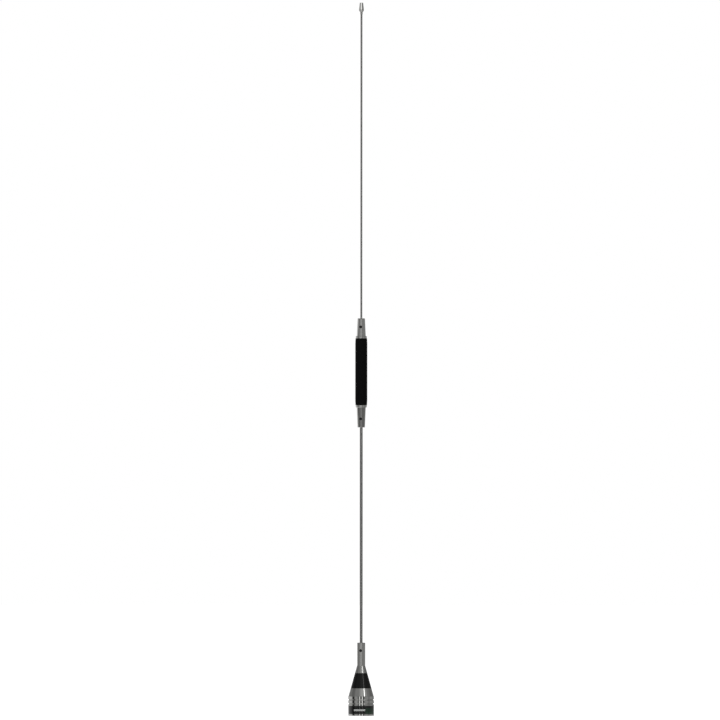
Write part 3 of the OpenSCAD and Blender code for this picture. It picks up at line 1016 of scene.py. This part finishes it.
@dataclass
class LoadingCoil(SubAssembly):
    """Ferrules, former, winding and shrunk sleeve, which is drawn in at both ends."""

    body: str = "coil"
    wire: float = 0.5 * MM
    winding_r: float = 8.0 * MM
    pitch: float = 1.8 * MM
    turns: float = 44.0
    bend: float = 0.7 * MM
    steps_a_turn: int = 44
    sleeve_in: float = 8.6 * MM
    sleeve_end: float = 9.0 * MM
    sleeve_mid: float = 9.37 * MM
    draw: float = 9.0 * MM
    lip: float = 0.12 * MM
    ripple: float = 0.012 * MM
    ripple_from: float = 12 * MM
    ripple_fade: float = 6 * MM
    sleeve_grid: tuple[int, int] = (420, 144)

    def winding(self) -> Object:
        """Wire: a helix of 44 turns with a short bend and a straight lead at each end.

        Returns:
            The object.
        """
        low, high = self.span("coil_former")
        start = (low + high - self.turns * self.pitch) / 2
        stop = start + self.turns * self.pitch
        a = np.linspace(0.0, math.tau * self.turns, int(self.turns * self.steps_a_turn))
        helix = polar(self.winding_r, a, start + self.pitch * a / math.tau)
        q = np.linspace(0.0, math.pi / 2, 8)[:-1]
        lead_in = np.stack([self.winding_r + 0 * q, -self.bend * (1 - np.sin(q)),
                            start - self.bend * np.cos(q)], axis=-1)
        lead_in = np.vstack([[[self.winding_r, -self.bend, low]], lead_in])
        lead_out = lead_in[::-1] * np.array([1.0, -1.0, 1.0])
        lead_out[:, 2] = (start + stop) - lead_out[:, 2]
        lead_out[-1, 2] = high
        path = np.vstack([lead_in, helix, lead_out])
        return swept("enamelled_winding", path, circle(self.wire, 12))

    def sleeve(self) -> Object:
        """Shrunk tube: radius is a smooth step at the ends plus a faint ripple over the turns.

        Returns:
            The object.
        """
        low, high = self.span("coil_sleeve")
        z, a = np.linspace(low, high, self.sleeve_grid[0]), full_turn(self.sleeve_grid[1])
        from_end = np.minimum(z - low, high - z)
        t = np.clip(from_end / self.draw, 0.0, 1.0)
        body = self.sleeve_end + (self.sleeve_mid - self.sleeve_end) * t * t * (3 - 2 * t)
        over_turns = np.clip((from_end - self.ripple_from) / self.ripple_fade, 0.0, 1.0)
        wave = 0.5 + 0.5 * np.cos(math.tau * z[:, None] / self.pitch - a)
        radius = body[:, None] + self.ripple * over_turns[:, None] * (wave - 1.0)
        radius[[0, -1]] -= self.lip
        radius = np.vstack([radius, np.full((2, len(a)), self.sleeve_in)])
        height = np.concatenate([z, [high, low]])
        return surface("shrunk_sleeve", polar(radius, a, height[:, None]), closed=True)

    def build(self) -> None:
        """Dresses the ferrules and the former, and places the wire and the sleeve."""
        self.dress_nodes({
            "lower_ferrule": Slot.CHROMED_BRASS, "upper_ferrule": Slot.CHROMED_BRASS,
            "lower_ferrule_set_screw": Slot.BLACKENED_STEEL,
            "upper_ferrule_set_screw": Slot.BLACKENED_STEEL,
            "coil_former": Slot.FORMER, "former_pins": Slot.PLATED_STEEL,
        })
        self.place(self.winding(), Slot.COPPER_WIRE, "coil_winding")
        self.place(self.sleeve(), Slot.HEAT_SHRINK, "coil_sleeve")


# ---- studio


@dataclass(frozen=True)
class Panel:
    """A panel of the light tent: where it starts round the antenna, its light and its soft edge.

    Angles are in degrees. The edge is the angle over which the light changes at the start.
    """

    start: float
    light: float
    edge: float = 2.0


@dataclass(frozen=True)
class Card:
    """A bright card in the tent: its angles round the antenna and above the floor, in degrees."""

    turn: tuple[float, float]
    climb: tuple[float, float]
    light: float


@dataclass(frozen=True)
class Lamp:
    """A soft lamp: its name, its place in metres and its power in watts."""

    name: str
    place: tuple[float, float, float]
    power: float


@dataclass
class Studio:
    """Camera, lamps, world, white floor and the grey light tent that the bright metal mirrors.

    The world's level is for rays neither seen nor mirrored, the floor's glow for seen ones. The
    shade is two angles above the floor and a level. Cards add to the dome's usual light.
    """

    frame_width: float = 1.1203
    lens: float = 1000.0
    sensor: float = 36.0
    eye: tuple[float, float] = (-0.0020, 0.5536)
    roll: float = math.radians(-0.03)
    world_level: float = 0.55
    lamps_at: tuple[Lamp, ...] = (
        Lamp("key_lamp", (-1.8, -2.4, 2.2), 55.0), Lamp("fill_lamp", (2.2, -2.0, 1.4), 30.0),
    )
    lamp_size: float = 1.4
    lamp_aim: tuple[float, float, float] = (0.0, 0.0, 0.55)
    floor_rings: tuple[float, ...] = (14.0, 4.0, 1.0, 0.2, 0.0)
    floor_paint: Colour = (0.86, 0.86, 0.86)
    floor_glow: float = 0.62
    tent_radius: float = 60.0
    ring: tuple[Panel, ...] = (
        Panel(-180, 0.34), Panel(-150, 0.60, 14), Panel(-92, 0.30, 6), Panel(-83, 0.03, 4),
        Panel(-62, 0.33, 5), Panel(-29.5, 0.03, 4), Panel(-19.5, 0.88), Panel(-11, 0.28),
        Panel(-3, 0.03, 4), Panel(6.5, 1.15), Panel(14, 0.09), Panel(29, 0.30, 6),
        Panel(66, 0.20, 12), Panel(84, 0.30, 14), Panel(120, 0.24, 20), Panel(155, 0.34, 30),
    )
    dome: tuple[Panel, ...] = (
        Panel(-180, 0.20), Panel(-122, 0.24, 20), Panel(-105, 0.16, 12), Panel(-66, 0.25, 16),
        Panel(-22, 0.30, 10), Panel(-12, 0.39, 8), Panel(-2, 0.45, 8), Panel(44, 0.36, 10),
        Panel(60, 0.22, 12), Panel(90, 0.16, 20), Panel(150, 0.20, 30),
    )
    dome_from: float = 9.0
    dome_edge: float = 1.5
    dome_light: float = 0.35
    shade: tuple[float, float, float] = (-9.0, -2.0, 0.60)
    cards: tuple[Card, ...] = (
        Card((32.0, 36.0), (27.0, 36.0), 2.9), Card((-18.0, 12.0), (10.0, 19.0), 1.1),
        Card((-85.0, -18.0), (10.0, 19.0), 0.5), Card((-70.0, 70.0), (-70.0, -18.0), 0.45),
    )

    def camera(self) -> None:
        """Level camera in front of the antenna with a long lens, framed as the photograph."""
        data = bpy.data.cameras.new("photo_camera")
        data.lens, data.sensor_width, data.clip_end = self.lens, self.sensor, 200.0
        obj = linked("photo_camera", data)
        away = self.frame_width / 2 * self.lens / (self.sensor / 2)
        obj.location = (self.eye[0], -away, self.eye[1])
        obj.rotation_euler = (math.pi / 2, self.roll, 0.0)
        bpy.context.scene.camera = obj

    def world(self) -> None:
        """White for the camera, mirrors and glass; a plain level for all other rays."""
        world = bpy.data.worlds.new("studio")
        bpy.context.scene.world = world
        tree = cleared(world)
        path = tree.add("ShaderNodeLightPath").outputs
        mirrored = tree.math("MAXIMUM", path["Is Glossy Ray"], path["Is Transmission Ray"])
        seen = tree.math("MAXIMUM", path["Is Camera Ray"], mirrored)
        level = tree.scaled(seen, self.world_level, 1.0)
        inputs = {"Color": (1.0, 1.0, 1.0, 1.0), "Strength": level}
        back = tree.add("ShaderNodeBackground", inputs)
        tree.add("ShaderNodeOutputWorld", {"Surface": back.outputs[0]})

    def lamps(self) -> None:
        """Two large soft lamps, in front to the left and to the right."""
        for lamp in self.lamps_at:
            data = bpy.data.lights.new(lamp.name, "AREA")
            data.energy, data.size = lamp.power, self.lamp_size
            obj = linked(lamp.name, data)
            obj.location = lamp.place
            aim = Vector(self.lamp_aim) - Vector(lamp.place)
            obj.rotation_euler = aim.to_track_quat("-Z", "Y").to_euler()
            obj.visible_glossy = False

    def floor(self) -> None:
        """White disc under the base. It keeps a soft shadow, and from below it is clear."""
        points = polar(np.array(self.floor_rings)[:, None], full_turn(64), 0.0)
        obj = surface("white_floor", points)
        if obj.data.polygons[0].normal.z < 0:
            obj.data.flip_normals()
        made = bpy.data.materials.new("floor paint")
        tree = cleared(made)
        paint = tree.add("ShaderNodeBsdfDiffuse", {"Color": (*self.floor_paint, 1.0)})
        path = tree.add("ShaderNodeLightPath").outputs
        seen = tree.math("MAXIMUM", path["Is Camera Ray"], path["Is Transmission Ray"])
        glow = tree.add("ShaderNodeEmission", {"Strength": tree.times(seen, self.floor_glow)})
        both = tree.add("ShaderNodeAddShader", {0: paint.outputs[0], 1: glow.outputs[0]})
        clear = tree.add("ShaderNodeBsdfTransparent").outputs[0]
        below = tree.add("ShaderNodeNewGeometry").outputs["Backfacing"]
        sides = tree.add("ShaderNodeMixShader", {0: below, 1: both.outputs[0], 2: clear})
        tree.add("ShaderNodeOutputMaterial", {"Surface": sides.outputs[0]})
        obj.data.materials.append(made)
        obj.visible_glossy = False

    @staticmethod
    def ramp(tree: Tree, turn: Socket, panels: tuple[Panel, ...]) -> Socket:
        """Light of the panels round the antenna, blended from one to the next at their edges.

        Args:
            tree: the tent's tree.
            turn: the angle, 0 at -180 degrees and 1 at 180.
            panels: the panels in order.

        Returns:
            The light's socket.
        """
        node = tree.add("ShaderNodeValToRGB", {0: turn})
        ramp = node.color_ramp
        stops = [(panels[0].start, panels[0].light)]
        for before, panel in zip(panels, panels[1:]):
            stops.append((panel.start - panel.edge / 2, before.light))
            stops.append((panel.start + panel.edge / 2, panel.light))
        while len(ramp.elements) < len(stops):
            ramp.elements.new(1.0)
        for k, (at, light) in enumerate(stops):
            ramp.elements[k].position = (at + 180.0) / 360.0
            ramp.elements[k].color = (light, light, light, 1.0)
        return node.outputs[0]

    @staticmethod
    def between(tree: Tree, angle: Socket, limits: tuple[float, float]) -> Socket:
        """Mask of the angles between two limits, in degrees."""
        middle, half = sum(limits) / 2, (limits[1] - limits[0]) / 2
        return tree.math("COMPARE", angle, math.radians(middle), math.radians(half))

    def tent(self) -> None:
        """Grey tent round the antenna, a sphere that only mirrored rays see."""
        lat = np.radians(np.linspace(-89.0, 89.0, 48))[:, None]
        r = self.tent_radius
        points = polar(r * np.cos(lat), full_turn(96), r * np.sin(lat))
        obj = surface("light_tent", points)
        made = bpy.data.materials.new("tent cloth")
        tree = cleared(made)
        away, angle, z = tree.axis_parts()
        turn = tree.plus(tree.math("DIVIDE", angle, math.tau), 0.5)
        climb = tree.math("ARCTAN2", z, away)
        dome = tree.smooth(climb, math.radians(self.dome_from - self.dome_edge),
                           math.radians(self.dome_from + self.dome_edge))
        light = tree.mix(dome, self.ramp(tree, turn, self.ring), self.ramp(tree, turn, self.dome))
        low, high, level = self.shade
        strength = tree.scaled(self.between(tree, climb, (low, high)), 1.0, level)
        for card in self.cards:
            across = self.between(tree, angle, card.turn)
            inside = tree.times(across, self.between(tree, climb, card.climb))
            strength = tree.plus(strength, tree.times(inside, card.light / self.dome_light))
        glow = tree.add("ShaderNodeEmission", {"Color": light, "Strength": strength})
        tree.add("ShaderNodeOutputMaterial", {"Surface": glow.outputs[0]})
        obj.data.materials.append(made)
        obj.visible_camera = obj.visible_diffuse = obj.visible_shadow = False
        obj.visible_transmission = obj.visible_volume_scatter = False

    def build(self) -> None:
        """Sets the whole studio up."""
        self.camera()
        self.world()
        self.lamps()
        self.floor()
        self.tent()


# ---- the antenna


def main() -> None:
    """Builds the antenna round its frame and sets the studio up."""
    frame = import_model()
    logging.basicConfig(level=logging.INFO, format="%(name)s %(message)s")
    bpy.context.scene.view_settings.view_transform = "Standard"
    effects = Effects()
    dressed = {slot: finish.material(effects) for slot, finish in finishes().items()}
    nodes = frame["nodes"]
    Studio().build()
    for part in (
        ScrewOnBase(dressed, nodes),
        ContactSpring(dressed, nodes),
        ContactPlunger(dressed, nodes),
        Rod(dressed, nodes, "lower_mast", node="lower_whip", radius=2.25 * MM),
        LoadingCoil(dressed, nodes),
        Rod(dressed, nodes, "upper_mast", node="upper_whip", radius=1.5 * MM),
        TipBead(dressed, nodes),
    ):
        part.build()


if __name__ == "__main__":
    main()
